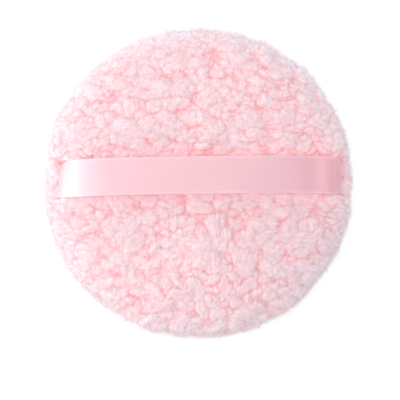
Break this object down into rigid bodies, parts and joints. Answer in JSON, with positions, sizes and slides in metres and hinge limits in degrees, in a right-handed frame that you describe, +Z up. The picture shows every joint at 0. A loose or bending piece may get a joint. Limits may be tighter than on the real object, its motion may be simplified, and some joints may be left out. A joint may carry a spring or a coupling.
{
  "type": "powder puff",
  "caption": "Round curly-fleece powder puff with a satin ribbon across its back that holds it on the fingers.",
  "frame": {"origin": "centre of the flat underside that the puff rests on, which is its powder side", "axes": "+Z up through the puff, from its powder side to its ribbon. The ribbon runs along X. +Y is the top of the picture"},
  "size_m": [0.082, 0.082, 0.0325],
  "materials": {
    "curly_fleece": "soft, matt curly pile",
    "satin_ribbon": "satin, shiny along its length",
    "wadding": "matt loose fibre",
    "sewing_thread": "matt twisted thread"
  },
  "bodies": {
    "root": {"top_cover": "curly_fleece", "powder_side_cover": "curly_fleece", "wadding_pad": "wadding", "finger_ribbon": "satin_ribbon", "rim_seam_thread": "sewing_thread", "closing_thread": "sewing_thread"}
  },
  "joints": []
}
